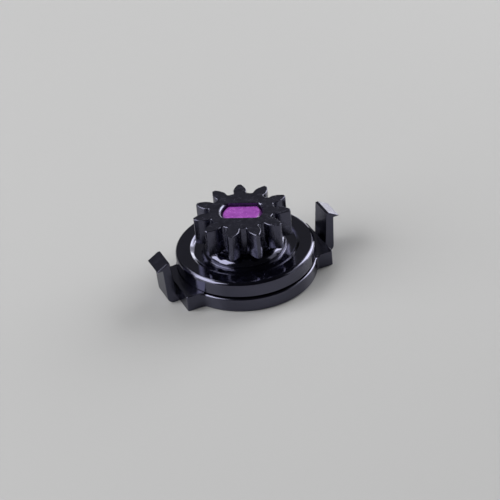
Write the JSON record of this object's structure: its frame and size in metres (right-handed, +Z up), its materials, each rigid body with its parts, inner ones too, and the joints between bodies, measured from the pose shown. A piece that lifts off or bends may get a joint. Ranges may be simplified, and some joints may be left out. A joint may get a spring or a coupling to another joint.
{
  "type": "rotary damper",
  "caption": "Round viscous damper with a toothed pinion on its shaft and snap arms that clip it into a panel, for slowing a lid, a flap or a drawer.",
  "frame": {"origin": "bottom centre of the cup, on the shaft axis", "axes": "+Z up the shaft towards the pinion, +X along the line of the snap arms"},
  "size_m": [0.0276, 0.0198, 0.0101],
  "materials": {
    "housing": "moulded acetal, black, semi-gloss",
    "cover": "moulded acetal, black, glossy",
    "rotor": "moulded plastic, purple, satin",
    "pinion": "moulded acetal, dark grey, satin",
    "seal": "smooth rubber",
    "fluid": "thick clear silicone"
  },
  "bodies": {
    "housing": {"housing_base": "housing", "cover": "cover", "seal_ring": "seal", "silicone_fluid": "fluid"},
    "rotor": {"rotor": "rotor", "pinion_gear": "pinion"}
  },
  "joints": [
    {"name": "rotor_spin", "type": "hinge", "parent": "housing", "child": "rotor", "pos_m": [0, 0, 0], "axis": [0, 0, 1], "continuous": true}
  ]
}
